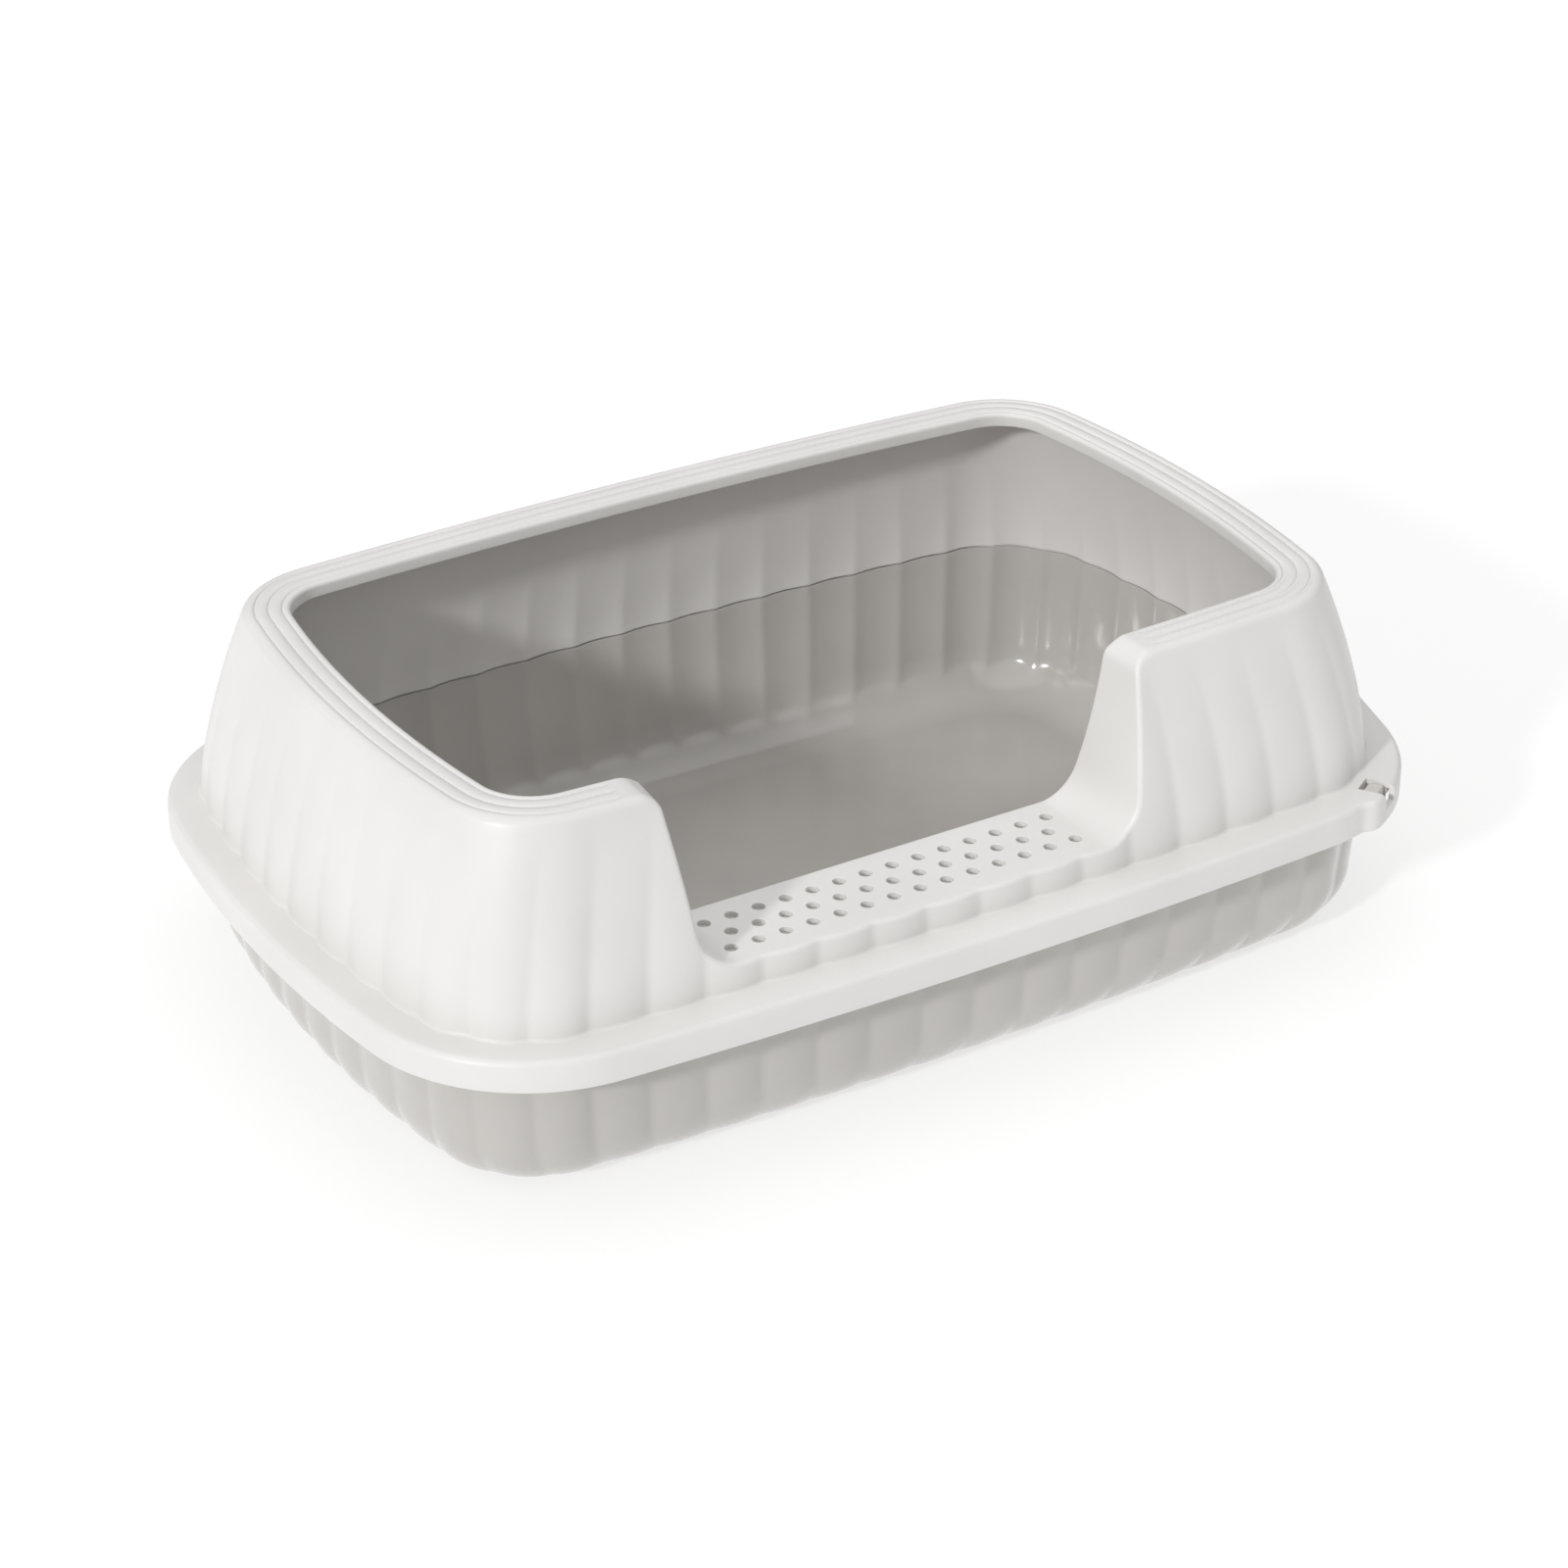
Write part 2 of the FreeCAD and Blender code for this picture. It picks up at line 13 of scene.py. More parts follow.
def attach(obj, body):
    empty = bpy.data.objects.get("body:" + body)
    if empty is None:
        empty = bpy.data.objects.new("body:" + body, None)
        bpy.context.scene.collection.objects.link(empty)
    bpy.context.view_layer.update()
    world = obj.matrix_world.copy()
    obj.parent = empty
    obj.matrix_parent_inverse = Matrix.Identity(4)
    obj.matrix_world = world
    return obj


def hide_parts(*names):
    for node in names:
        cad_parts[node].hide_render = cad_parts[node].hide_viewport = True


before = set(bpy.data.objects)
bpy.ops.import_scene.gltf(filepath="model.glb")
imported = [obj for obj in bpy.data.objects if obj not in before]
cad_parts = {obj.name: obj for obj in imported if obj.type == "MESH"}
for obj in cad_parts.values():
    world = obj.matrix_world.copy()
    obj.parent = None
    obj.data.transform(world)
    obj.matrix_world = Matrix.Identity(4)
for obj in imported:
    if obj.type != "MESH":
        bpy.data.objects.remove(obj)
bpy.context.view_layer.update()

# ---- Dimensions, as in the part's source -----------------------------------------------------------
LIP_BOTTOM, FLANGE_TOP, LEDGE_TOP, RIM_TOP, WALL = 65.0, 79.0, 90.8, 165.0, 2.5
BASE = np.array([238.0, 151.0, 55.0, 2600.0, 590.0])
RIM = np.array([216.5, 132.4, 44.3, 2740.0, 590.0])
LIP = np.array([255.0, 168.3, 80.0, 3040.0, 640.0])
PAN_FLOOR = np.array([206.5, 120.5, 31.0, 2560.0, 550.0])
FLUTES, FLUTE_DEPTH, FLUTE_FADE, CORNER_WEIGHT = 56, 1.8, 0.8, 1.05
INNER_SHARE, INNER_FADE = 0.85, 2.2   # the flutes inside the hood, shallower and soon gone
WALL_BARREL, RIM_ROUND, RIM_BAND, RIM_STRIP = 1.5, 4.0, 19.9, 6.3
RIM_EDGE, RIM_INNER_EDGE = 3.0, 1.8   # width of the rim's rounded outer and inner edges
GROOVE_INSETS, GROOVE_DEPTH, GROOVE_STOP = (4.8, 10.6, 16.5), 0.6, 14.0
FLANGE_ROUND, LOCATING_RIB, RIB_TOP, SEAM_GAP, PARTING_GAP = 3.0, 1.1, 77.6, 1.2, 0.3
ENTRY_X, ENTRY_HALF_TOP, ENTRY_HALF_BOTTOM = -23.8, 112.2, 102.7
ENTRY_TOP_RADIUS, ENTRY_BOTTOM_RADIUS, LEDGE_INNER_Y = 9.0, 19.0, -101.1
JAMB_BOW, JAMB_BOW_Z = 1.6, 115.0
HOLE_RADIUS, HOLE_PITCH, HOLES_X = 2.8, 12.75, -25.8
HOLE_ROWS_Y, HOLE_ROW_COUNTS = (-136.3, -125.5, -114.7), (14, 13, 14)
GRIP_CENTRE = (162.5, 83.0)
GRIP_START_X, GRIP_RAMP, GRIP_RADIUS, GRIP_TURN = 197.0, 20.0, 86.5, 16.0
GRIP_EDGE_RADIUS, GRIP_HALF_FLAT = 100.0, 40.0
PAN_DRAFT, PAN_FOOT_RADIUS, PAN_FLANGE_TOP, PAN_FLANGE_THICK = 0.08, 29.0, 76.2, 2.2
PAN_FLANGE_GAP, FOOT_FLUTE_FADE = 0.8, 0.88
INNER_END, INNER_END_LENGTH = 0.09, 0.07   # where the flutes inside the pan end on its round foot
LATCH_ANGLE, LATCH_PIVOT_R, LATCH_PIVOT_Z = -57.6, 78.5, 69.0
WINDOW_INNER_R, WINDOW_HALF_WIDTH, WINDOW_SILL = 73.3, 5.3, 71.5
NOTCH_INNER_R, NOTCH_HALF_WIDTH = 73.7, 5.0
TRUNNION_BORE, LUG_GAP, LUG_THICK, LUG_LENGTH, LUG_BOTTOM = 1.35, 4.9, 2.2, 7.0, 66.0

# Roundings and other shapes that only the moulded surface shows
FOOT_FILLET = 1.6
JAMB_ROUND = 1.9
JAMB_INNER_EDGE = 1.2
GROOVE_SHAPE = ((-0.9, 0), (-0.62, 0.25), (-0.38, 0.8), (0, 1), (0.38, 0.8), (0.62, 0.25), (0.9, 0))
STRIP_ROUND = 0.6
HOLE_EDGE = 0.3
ENTRY_STRIP = 3.3
JAMB_SKEW = 0.1              # the jambs' faces turn in by this much towards the inside
FLUTE_STEPS = (0.0, 0.02, 0.042, 0.07, 0.11, 0.17, 0.25, 0.33, 0.42)
VALLEY_ROUND = 0.16          # share of half a flute over which its valley is rounded

# How finely the surfaces are made
WALL_ROWS, PAN_WALL_ROWS, PAN_FOOT_STEPS = 37, 14, 22
SHARP_ANGLE = 32
MM = 0.001


# ---- Plan outlines ---------------------------------------------------------------------------------
def corner_centre(plan):
    half_x, half_y, radius, long_radius, short_radius = plan.T
    long_y = half_y - long_radius
    short_x = half_x - short_radius
    gap = np.hypot(short_x, long_y)
    reach_long, reach_short = long_radius - radius, short_radius - radius
    along = (reach_long**2 - reach_short**2 + gap**2) / (2 * gap)
    aside = np.sqrt(reach_long**2 - along**2)
    unit_x, unit_y = short_x / gap, -long_y / gap
    return unit_x * along + unit_y * aside, long_y + unit_y * along - unit_x * aside


def outline(plan, flute):
    """Points and outward normals at flute positions, counted clockwise from the middle of +Y."""
    flute = np.asarray(flute, float)
    plan = np.broadcast_to(plan, flute.shape + (5,))
    half_x, half_y, radius, long_radius, short_radius = plan.T
    centre_x, centre_y = corner_centre(plan)
    long_y, short_x = half_y - long_radius, half_x - short_radius
    long_end = np.arctan2(centre_y - long_y, centre_x)
    short_start = np.arctan2(centre_y, centre_x - short_x)
    length_a = long_radius * (math.pi / 2 - long_end)
    length_b = CORNER_WEIGHT * radius * (long_end - short_start)
    length_c = short_radius * short_start

    quarter_size = FLUTES / 4
    quarter = np.floor(flute / quarter_size).astype(int) % 4
    step = flute / quarter_size - np.floor(flute / quarter_size)
    share = np.where(quarter % 2 == 1, 1 - step, step)
    left = share * (length_a + length_b + length_c)
    in_a, in_b = left <= length_a, left <= length_a + length_b
    angle = np.where(
        in_a, math.pi / 2 - left / long_radius,
        np.where(in_b, long_end - (left - length_a) / (CORNER_WEIGHT * radius),
                 short_start - (left - length_a - length_b) / short_radius))
    from_x = np.where(in_a, 0.0, np.where(in_b, centre_x, short_x))
    from_y = np.where(in_a, long_y, np.where(in_b, centre_y, 0.0))
    arc = np.where(in_a, long_radius, np.where(in_b, radius, short_radius))
    sign = np.stack([np.where(quarter < 2, 1, -1), np.where((quarter == 0) | (quarter == 3), 1, -1)], -1)
    normal = np.stack([np.cos(angle), np.sin(angle)], -1)
    point = np.stack([from_x, from_y], -1) + normal * arc[..., None]
    return point * sign, normal * sign


def fluted(plan, flute, depth):
    """A fluted outline; the valleys lie on the plan."""
    point, normal = outline(plan, flute)
    part = flute - np.floor(flute)
    off = np.abs(2 * part - 1)
    start = 1 - VALLEY_ROUND
    into = np.clip((off - start) / VALLEY_ROUND, 0, 1)
    rounded = (1 - start**2) - 2 * start * VALLEY_ROUND * (into - into**2 / 2)
    bulge = depth * np.where(off < start, 1 - off**2, rounded)
    return point + normal * np.asarray(bulge)[..., None]


def flat3(point, z):
    """Plan points lifted to a height."""
    return np.concatenate([point, np.broadcast_to(np.asarray(z, float), point.shape[:-1])[..., None]], -1)


def wall(flute, z, thickness=0.0):
    """Points of the hood's wall, moved in by a thickness."""
    z = np.broadcast_to(np.asarray(z, float), np.shape(flute))
    share = np.clip((z - FLANGE_TOP) / (RIM_TOP - FLANGE_TOP), 0, None)
    plan = BASE + (RIM - BASE) * share[..., None]**WALL_BARREL - thickness
    fade = np.clip((z - FLANGE_TOP) / (RIM_TOP - RIM_ROUND - FLANGE_TOP), 0, 1)
    depth = FLUTE_DEPTH * ((1 - fade)**FLUTE_FADE if thickness == 0 else INNER_SHARE * (1 - fade)**INNER_FADE)
    return flat3(fluted(plan, flute, depth), z)


def flute_at(x, z, thickness):
    """Flute position on the front of the wall where it has this x, by bisection."""
    low, high = np.full(x.shape, FLUTES / 4), np.full(x.shape, FLUTES * 0.75)
    for _ in range(40):
        middle = (low + high) / 2
        too_far = wall(middle, z, thickness)[..., 0] > x
        low, high = np.where(too_far, middle, low), np.where(too_far, high, middle)
    return (low + high) / 2


def bend(start, corner, end, steps):
    """Rows along a rounded corner from start to end."""
    rows = []
    weight = math.cos(math.radians(45))
    for step in range(steps + 1):
        t = step / steps
        a, b, c = (1 - t)**2, 2 * weight * t * (1 - t), t * t
        rows.append((a * start + b * corner + c * end) / (a + b + c))
    return rows


def between(start, end, steps):
    """Rows strictly between two rows."""
    return [start + (end - start) * step / steps for step in range(1, steps)]


def smooth(value):
    value = np.clip(value, 0, 1)
    return value * value * (3 - 2 * value)


def unit(rows):
    return rows / np.linalg.norm(rows, axis=-1, keepdims=True)


# ---- The lip, with the wide grip at the +X end -----------------------------------------------------
def grip_outline():
    """Closed polygon of the grip's plan."""
    centre_x, centre_y = GRIP_CENTRE
    turn, ramp = math.radians(GRIP_TURN), math.radians(GRIP_RAMP)
    full = math.acos((GRIP_START_X - centre_x) / GRIP_RADIUS)
    half = []
    arc = np.linspace(full, turn, 40)
    half += [(centre_x + GRIP_RADIUS * math.cos(a), centre_y + GRIP_RADIUS * math.sin(a)) for a in arc]
    end_x, end_y = half[-1]
    slant_y = GRIP_HALF_FLAT + GRIP_EDGE_RADIUS * math.sin(turn)
    slant_x = end_x + (end_y - slant_y) * math.tan(turn)
    from_x = slant_x - GRIP_EDGE_RADIUS * math.cos(turn)
    for a in np.linspace(turn, 0, 20):
        half.append((from_x + GRIP_EDGE_RADIUS * math.cos(a), GRIP_HALF_FLAT + GRIP_EDGE_RADIUS * math.sin(a)))
    start = (half[0][0] - 60 * math.cos(ramp), half[0][1] - 60 * math.sin(ramp))
    half.insert(0, start)
    return np.array(half + [(x, -y) for x, y in reversed(half)])


def lip_outline(flute):
    """Lip points and true outward normals for each station."""
    point, normal = outline(LIP, flute)
    polygon = grip_outline()
    side_a, side_b = polygon, np.roll(polygon, -1, 0)
    edge = side_b - side_a
    reach = np.full(len(point), -1.0)
    for index in range(len(point)):
        cross = normal[index, 0] * edge[:, 1] - normal[index, 1] * edge[:, 0]
        gap = side_a - point[index]
        cross = np.where(np.abs(cross) < 1e-9, 1e-9, cross)
        out = (gap[:, 0] * edge[:, 1] - gap[:, 1] * edge[:, 0]) / cross
        along = (gap[:, 0] * normal[index, 1] - gap[:, 1] * normal[index, 0]) / cross
        hit = (along >= 0) & (along < 1) & (out > -15) & (out < 60)
        if hit.any() and point[index, 0] > 120:
            reach[index] = out[hit].max()
    count = len(point)
    reach = np.maximum(reach, 0)
    # A short blend where the grip starts
    spacing = np.linalg.norm(np.roll(point, -1, 0) - point, axis=1)
    place = np.concatenate([[0], np.cumsum(spacing)])[:count]
    soft = np.empty(count)
    for index in range(count):
        gap = np.abs(place - place[index])
        gap = np.minimum(gap, spacing.sum() - gap)
        weight = np.exp(-(gap / 2.5)**2) * np.maximum(spacing, 0.05)
        soft[index] = (weight * reach).sum() / weight.sum()
    point = point + normal * soft[:, None]
    tangent = unit(np.roll(point, -1, 0) - np.roll(point, 1, 0))
    normal = np.stack([-tangent[:, 1], tangent[:, 0]], -1)
    return point, normal


# ---- Stations round the hood -----------------------------------------------------------------------
def flute_list():
    steps = list(FLUTE_STEPS) + [0.5] + [1 - step for step in reversed(FLUTE_STEPS[1:])]
    return np.array([flute + step for flute in range(FLUTES) for step in steps])


def entry_path():
    """Dense points of the entry's edge in the XZ plane, from right to left."""
    corners = [
        (ENTRY_X + 137, RIM_TOP), (ENTRY_X + ENTRY_HALF_TOP, RIM_TOP),
        (ENTRY_X + ENTRY_HALF_BOTTOM, LEDGE_TOP), (ENTRY_X - ENTRY_HALF_BOTTOM, LEDGE_TOP),
        (ENTRY_X - ENTRY_HALF_TOP, RIM_TOP), (ENTRY_X - 135, RIM_TOP),
    ]
    corners = [np.array(corner, float) for corner in corners]
    radii = [ENTRY_TOP_RADIUS, ENTRY_BOTTOM_RADIUS, ENTRY_BOTTOM_RADIUS, ENTRY_TOP_RADIUS]
    points = [corners[0]]
    for before, corner, after, radius in zip(corners, corners[1:], corners[2:], radii):
        into, out = unit(corner - before), unit(after - corner)
        half_turn = math.acos(float(into @ out)) / 2
        reach = radius * math.tan(half_turn)
        start, end = corner - into * reach, corner + out * reach
        centre = corner + unit(out - into) * radius / math.cos(half_turn)
        steps = int(math.ceil(np.linalg.norm(start - points[-1]) / 0.5))
        points += [points[-1] + (start - points[-1]) * k / steps for k in range(1, steps + 1)]
        first, last = start - centre, end - centre
        turn = math.atan2(first[0] * last[1] - first[1] * last[0], first @ last)
        for a in (turn * k / 40 for k in range(1, 41)):
            cos, sin = math.cos(a), math.sin(a)
            points.append(centre + np.array([first[0] * cos - first[1] * sin, first[0] * sin + first[1] * cos]))
    points += [points[-1] + (corners[-1] - points[-1]) * k / 30 for k in range(1, 31)]
    return np.array(points)


class Stations:
    """Everything that a profile needs to know at each station round the hood."""

    def __init__(self):
        path = entry_path()
        length = np.concatenate([[0], np.cumsum(np.linalg.norm(np.diff(path, axis=0), axis=1))])
        tangent = unit(np.gradient(path, length, axis=0))
        void = np.stack([tangent[:, 1], -tangent[:, 0]], -1)
        high = path[:, 1] > RIM_TOP - 0.01
        dip = smooth((RIM_TOP - path[:, 1]) / 5)
        edge = RIM_EDGE + (JAMB_ROUND - RIM_EDGE) * dip
        outer = path - void * edge[:, None]
        flute_outer = flute_at(outer[:, 0], outer[:, 1], 0.0)
        listed = flute_list()
        inside = listed[(listed > flute_outer[0]) & (listed < flute_outer[-1])]
        marks = list(np.interp(inside, flute_outer, length))
        turning = np.linalg.norm(np.gradient(tangent, length, axis=0), axis=1)
        want = np.clip(0.09 / np.maximum(turning, 1e-6), 0.7, 2.2)
        on_ledge = np.abs(path[:, 1] - LEDGE_TOP) < 0.01
        want = np.where(on_ledge | high, 1e3, want)
        progress = np.concatenate([[0], np.cumsum(np.diff(length) / want[1:])])
        marks += list(np.interp(np.arange(1, int(progress[-1])), progress, length))
        marks = np.sort(np.array(marks))
        kept = [marks[0]]
        for mark in marks[1:]:
            if mark - kept[-1] > 0.22:
                kept.append(mark)
        marks = np.array(kept)

        def at(values):
            values = np.asarray(values)
            if values.ndim == 1:
                return np.interp(marks, length, values)
            return np.stack([np.interp(marks, length, column) for column in values.T], -1)

        front_path, front_void, front_edge = at(path), unit(at(void)), at(edge)
        front_outer = front_path - front_void * front_edge[:, None]
        start, end = flute_outer[0], flute_outer[-1]
        before, after = listed[listed <= start], listed[listed >= end]
        n_before, n_after = len(before), len(after)

        def ring(front, rest):
            return np.concatenate([np.broadcast_to(rest, (n_before,) + front.shape[1:]), front,
                                   np.broadcast_to(rest, (n_after,) + front.shape[1:])])

        def flutes(front):
            return np.concatenate([before, front, after])

        self.front = ring(np.ones(len(marks)), 0.0) > 0.5
        front_void3 = np.stack([front_void[:, 0], 0 * front_void[:, 0], front_void[:, 1]], -1)
        self.void = ring(front_void3, [0.0, 0.0, 1.0])
        self.edge = ring(front_edge, RIM_EDGE)
        self.dip = ring(at(dip), 0.0)
        gap = np.maximum(path[:, 0] - (ENTRY_X + ENTRY_HALF_TOP), (ENTRY_X - ENTRY_HALF_TOP) - path[:, 0])
        self.squared = ring(at(smooth((13 - gap) / 8)), 0.0)
        self.groove = ring(at(smooth((gap - GROOVE_STOP) / 2.5)), 1.0)
        self.outer_flute = flutes(flute_at(front_outer[:, 0], front_outer[:, 1], 0.0))
        self.outer_z = ring(front_outer[:, 1], RIM_TOP - RIM_EDGE)
        crest_flute = flutes(flute_at(front_path[:, 0], front_path[:, 1], 0.0))
        self.crest_z = ring(front_path[:, 1], RIM_TOP)
        self.crest = wall(crest_flute, self.crest_z)
        front_inner = front_path - front_void * WALL
        self.inner_flute = flutes(flute_at(front_inner[:, 0], front_inner[:, 1], WALL))
        self.inner_z = ring(front_inner[:, 1], RIM_TOP - WALL)
        _, self.normal = outline(RIM, crest_flute)
        self.count = len(self.outer_flute)


def jamb_y(x, z):
    """Where the ledge and jambs end inside: from the ledge's straight edge up to the rim's inner edge."""
    rim_y = -(RIM[1] - RIM_BAND)
    a = np.array([LEDGE_INNER_Y, LEDGE_TOP - WALL - 1])
    b = np.array([(LEDGE_INNER_Y + rim_y) / 2 - JAMB_BOW, JAMB_BOW_Z])
    c = np.array([rim_y, RIM_TOP - RIM_STRIP])
    matrix = 2 * np.array([b - a, c - a])
    centre = np.linalg.solve(matrix, np.array([b @ b - a @ a, c @ c - a @ a]))
    radius = np.linalg.norm(a - centre)
    side = 1 if centre[0] > a[0] else -1
    arc_y = centre[0] - side * np.sqrt(np.maximum(radius**2 - (np.minimum(z, c[1]) - centre[1])**2, 0))
    long_radius = RIM[3] - RIM_BAND
    bowed = rim_y + long_radius - np.sqrt(long_radius**2 - np.minimum(np.abs(x), 170)**2)
    lift = np.clip((z - LEDGE_TOP) / (RIM_TOP - LEDGE_TOP), 0, 1)
    return arc_y + (bowed - rim_y) * lift


# ---- Meshes ----------------------------------------------------------------------------------------
def make_grid(name, rows, closed_profile, caps=()):
    """A mesh from rows of points, all closed round the box; caps close the first or last row."""
    grid = np.stack(rows) * MM
    n_rows, n_columns = grid.shape[:2]
    index = np.arange(n_rows * n_columns).reshape(n_rows, n_columns)
    next_column = np.roll(index, -1, 1)
    if closed_profile:
        low, high = index, np.roll(index, -1, 0)
        low_next, high_next = next_column, np.roll(next_column, -1, 0)
    else:
        low, high = index[:-1], index[1:]
        low_next, high_next = next_column[:-1], next_column[1:]
    faces = np.stack([low, low_next, high_next, high], -1).reshape(-1, 4).tolist()
    if "first" in caps:
        faces.append(index[0][::-1].tolist())
    if "last" in caps:
        faces.append(index[-1].tolist())
    mesh = bpy.data.meshes.new(name)
    mesh.from_pydata(grid.reshape(-1, 3).tolist(), [], faces)
    mesh.update()
    piece = bpy.data.objects.new(name, mesh)
    bpy.context.scene.collection.objects.link(piece)
    work = bmesh.new()
    work.from_mesh(mesh)
    if work.calc_volume(signed=True) < 0:
        bmesh.ops.reverse_faces(work, faces=work.faces)
    work.to_mesh(mesh)
    work.free()
    return piece


def shade(piece, angle):
    mesh = piece.data
    mesh.polygons.foreach_set("use_smooth", np.ones(len(mesh.polygons), bool))
    mesh.set_sharp_from_angle(angle=math.radians(angle))
    mesh.update()


def hood_rows(st):
    foot_flute, foot = st.outer_flute, wall(st.outer_flute, FLANGE_TOP)
    _, foot_normal = outline(BASE, foot_flute)
    foot_out = foot + FOOT_FILLET * np.concatenate([foot_normal, np.zeros((st.count, 1))], -1)
    wall_start_z = FLANGE_TOP + FOOT_FILLET
    rows = bend(foot_out, foot, wall(foot_flute, wall_start_z), 6)

    # Outer wall
    for k in np.linspace(0, 1, WALL_ROWS)[1:-1]:
        rows.append(wall(foot_flute, wall_start_z + (st.outer_z - wall_start_z) * k))

    # Outer edge, the band with its grooves, inner edge, strip
    flat_normal = np.concatenate([st.normal, np.zeros((st.count, 1))], -1)
    x_axis, y_axis = np.array([1.0, 0.0, 0.0]), np.array([0.0, 1.0, 0.0])
    jamb_way = y_axis + x_axis * (JAMB_SKEW * st.void[:, :1] * st.dip[:, None])
    inward = unit(-flat_normal * (1 - st.squared[:, None]) + jamb_way * st.squared[:, None])
    target_y = jamb_y(st.crest[:, 0], st.crest_z)
    width = np.where(st.front, (target_y - st.crest[:, 1]) / np.maximum(inward[:, 1], 0.5), RIM_BAND)[:, None]
    edge = st.edge[:, None]
    inner_edge = (RIM_INNER_EDGE - (RIM_INNER_EDGE - JAMB_INNER_EDGE) * st.dip)[:, None]
    rows += bend(wall(st.outer_flute, st.outer_z), st.crest, st.crest + inward * edge, 6)
    scale = (width - edge - inner_edge) / (RIM_BAND - RIM_EDGE - RIM_INNER_EDGE)
    places = []
    for inset_at in GROOVE_INSETS:
        for offset, drop in GROOVE_SHAPE:
            places.append((inset_at + offset, drop))
    places += [(7.7, 0), (13.5, 0)]
    for place, drop in sorted(places):
        point = st.crest + inward * (edge + (place - RIM_EDGE) * scale)
        rows.append(point - st.void * (drop * GROOVE_DEPTH * st.groove)[:, None])
    inner = st.crest + inward * width
    down = -st.void
    rows += bend(inner - inward * inner_edge, inner, inner + down * inner_edge, 5)
    depth = (RIM_STRIP + (ENTRY_STRIP - RIM_STRIP) * st.dip)[:, None]
    strip = inner + down * depth
    rows += between(rows[-1], strip - down * STRIP_ROUND, 3)
    rows += bend(strip - down * STRIP_ROUND, strip, strip - inward * STRIP_ROUND, 3)
    back = strip - inward * WALL
    rows += bend(back + inward * STRIP_ROUND, back, back - down * STRIP_ROUND, 3)
    under = inner - inward * WALL + down * WALL
    rows.append(under)
    inner_top = wall(st.inner_flute, st.inner_z, WALL)
    rows += between(under, inner_top, 5)
    rows.append(inner_top)

    # Inside of the wall, the rebate over the pan's rib, the skirt
    inner_foot_z = RIB_TOP + SEAM_GAP
    for k in np.linspace(0, 1, WALL_ROWS)[1:]:
        rows.append(wall(st.inner_flute, st.inner_z + (inner_foot_z - st.inner_z) * k, WALL))
    rebate = WALL - LOCATING_RIB - PARTING_GAP
    for z in (inner_foot_z, FLANGE_TOP - WALL):
        rows.append(flat3(fluted(BASE - rebate, st.inner_flute, FLUTE_DEPTH), z))
    lip, out = lip_outline(foot_flute)
    skirt_inner = flat3(lip - out * WALL, FLANGE_TOP - WALL)
    rows += between(rows[-1], skirt_inner, 3)
    rows.append(skirt_inner)
    low_inner = flat3(lip - out * WALL, LIP_BOTTOM)
    low_outer = flat3(lip, LIP_BOTTOM)
    up = np.array([0.0, 0.0, 1.0])
    out3 = np.concatenate([out, np.zeros((st.count, 1))], -1)
    rows += bend(low_inner + up * 0.6, low_inner, low_inner + out3 * 0.6, 2)
    rows += bend(low_outer - out3 * 0.9, low_outer, low_outer + up * 0.9, 4)
    top_corner = flat3(lip, FLANGE_TOP)
    rows += between(rows[-1], top_corner - up * FLANGE_ROUND, 4)
    rows += bend(top_corner - up * FLANGE_ROUND, top_corner, top_corner - out3 * FLANGE_ROUND, 7)
    rows += between(rows[-1], foot_out, 5)
    return rows


def corner_matrix(side):
    """Places a shape drawn with X outwards from the grip's corner centre at one latch."""
    centre_x, centre_y = GRIP_CENTRE
    angle = math.radians(-LATCH_ANGLE) * side
    return Matrix.Translation((centre_x, side * centre_y, 0)) @ Matrix.Rotation(angle, 4, "Z")


def add_turned(work, profile, centre, segments=28):
    """Adds a turned solid (radius, height pairs, bottom to top) to a bmesh, in millimetres."""
    rings = []
    for radius, z in profile:
        rings.append([work.verts.new((centre[0] + radius * math.cos(2 * math.pi * k / segments),
                                      centre[1] + radius * math.sin(2 * math.pi * k / segments), z))
                      for k in range(segments)])
    work.faces.new(list(reversed(rings[0])))
    work.faces.new(rings[-1])
    for low, high in zip(rings, rings[1:]):
        for k in range(segments):
            after = (k + 1) % segments
            work.faces.new((low[k], low[after], high[after], high[k]))


def add_box(work, r_low, r_high, half_width, z_low, z_high, matrix):
    plan = ((r_low, -half_width), (r_high, -half_width), (r_high, half_width), (r_low, half_width))
    corners = [matrix @ Vector((r, w, z)) for z in (z_low, z_high) for r, w in plan]
    verts = [work.verts.new(corner) for corner in corners]
    for face in ((3, 2, 1, 0), (4, 5, 6, 7), (0, 1, 5, 4), (1, 2, 6, 5), (2, 3, 7, 6), (3, 0, 4, 7)):
        work.faces.new([verts[k] for k in face])


def cut(piece, work):
    """Cuts the shapes in a bmesh, in millimetres, out of a piece."""
    bmesh.ops.scale(work, vec=(MM, MM, MM), verts=work.verts)
    mesh = bpy.data.meshes.new("cutter")
    work.to_mesh(mesh)
    work.free()
    cutter = bpy.data.objects.new("cutter", mesh)
    bpy.context.scene.collection.objects.link(cutter)
    modifier = piece.modifiers.new("cut", "BOOLEAN")
    modifier.operation, modifier.solver, modifier.object = "DIFFERENCE", "EXACT", cutter
    bpy.context.view_layer.update()
    result = bpy.data.meshes.new_from_object(piece.evaluated_get(bpy.context.evaluated_depsgraph_get()))
    piece.modifiers.clear()
    piece.data = result
    bpy.data.objects.remove(cutter)


